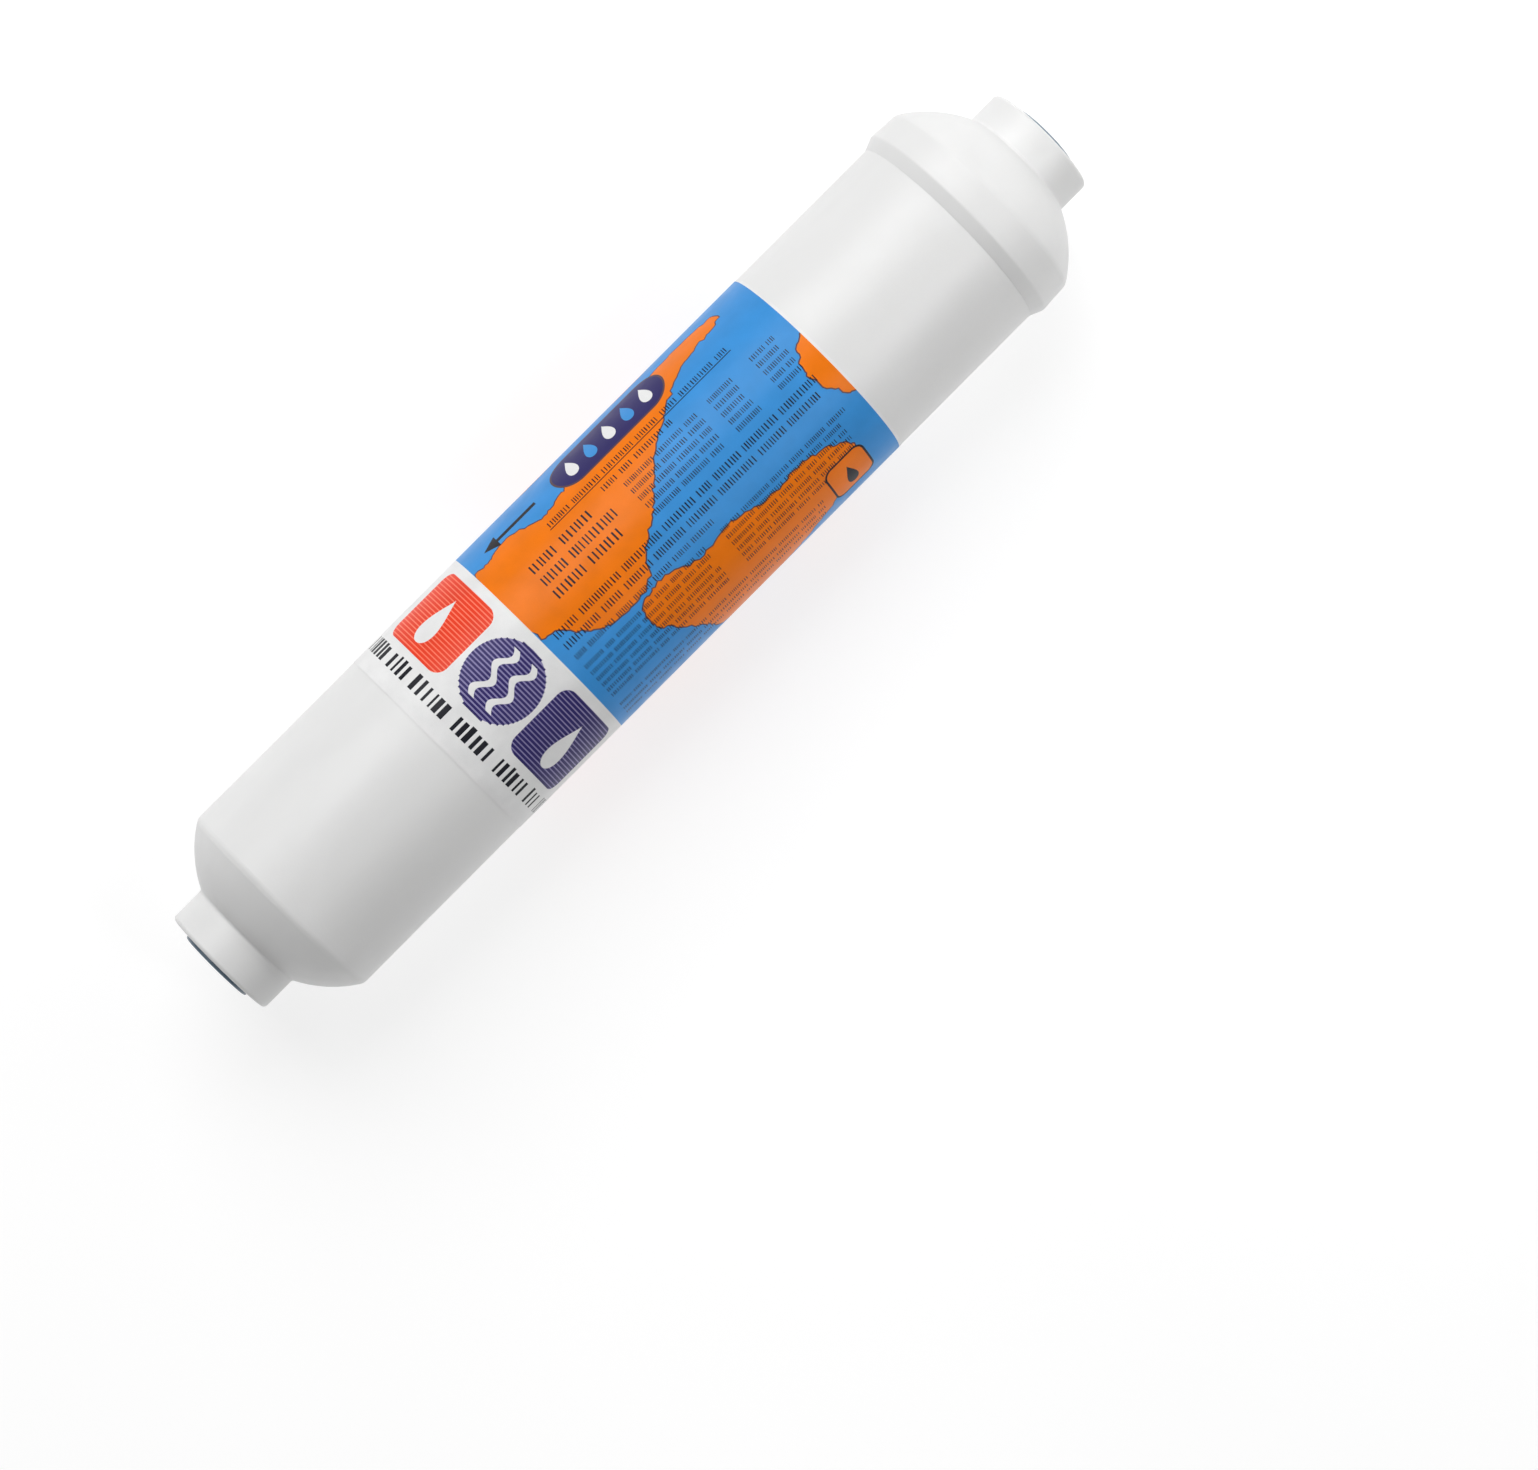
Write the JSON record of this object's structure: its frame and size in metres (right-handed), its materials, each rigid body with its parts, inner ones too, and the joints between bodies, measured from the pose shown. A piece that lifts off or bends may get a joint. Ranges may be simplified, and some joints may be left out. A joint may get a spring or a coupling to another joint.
{
  "type": "inline water filter",
  "caption": "Slim tubular inline water filter with a domed end, a collared end cap, a wrapped printed label and a push-in tube port in the hub at each end.",
  "frame": {"origin": "on the filter's axis, half-way between the two hub faces", "axes": "+X along the axis towards the inlet end with the collared cap, +Z out of the front of the label, +Y completes the frame"},
  "size_m": [0.256, 0.0534, 0.0534],
  "materials": {
    "white_plastic": "satin moulded polypropylene",
    "label_film": "printed film, slightly glossy",
    "blue_grey_plastic": "smooth acetal",
    "grey_plastic": "smooth acetal",
    "steel": "spring stainless sheet",
    "seal_rubber": "smooth EPDM",
    "natural_plastic": "unpigmented polypropylene",
    "foam": "open-cell foam",
    "felt": "needled polyester felt",
    "mesh": "fine woven polyester mesh",
    "carbon": "loose black granules"
  },
  "bodies": {
    "filter": {"housing_body": "white_plastic", "end_cap": "white_plastic", "label": "label_film", "inlet_collar_ring": "grey_plastic", "outlet_collar_ring": "grey_plastic", "inlet_spacer_ring": "grey_plastic", "outlet_spacer_ring": "grey_plastic", "inlet_o_ring": "seal_rubber", "outlet_o_ring": "seal_rubber", "inlet_distributor": "natural_plastic", "outlet_support_plate": "natural_plastic", "expansion_foam": "foam", "inlet_felt_pad": "felt", "outlet_felt_pad": "felt", "inlet_screen": "mesh", "outlet_screen": "mesh", "carbon_bed": "carbon"},
    "inlet_collet": {"inlet_collet": "blue_grey_plastic", "inlet_grab_ring": "steel"},
    "outlet_collet": {"outlet_collet": "blue_grey_plastic", "outlet_grab_ring": "steel"}
  },
  "joints": [
    {"name": "inlet_collet_press", "type": "slide", "parent": "filter", "child": "inlet_collet", "axis": [-1, 0, 0], "range_m": [0, 0.0015]},
    {"name": "outlet_collet_press", "type": "slide", "parent": "filter", "child": "outlet_collet", "axis": [1, 0, 0], "range_m": [0, 0.0015]}
  ]
}
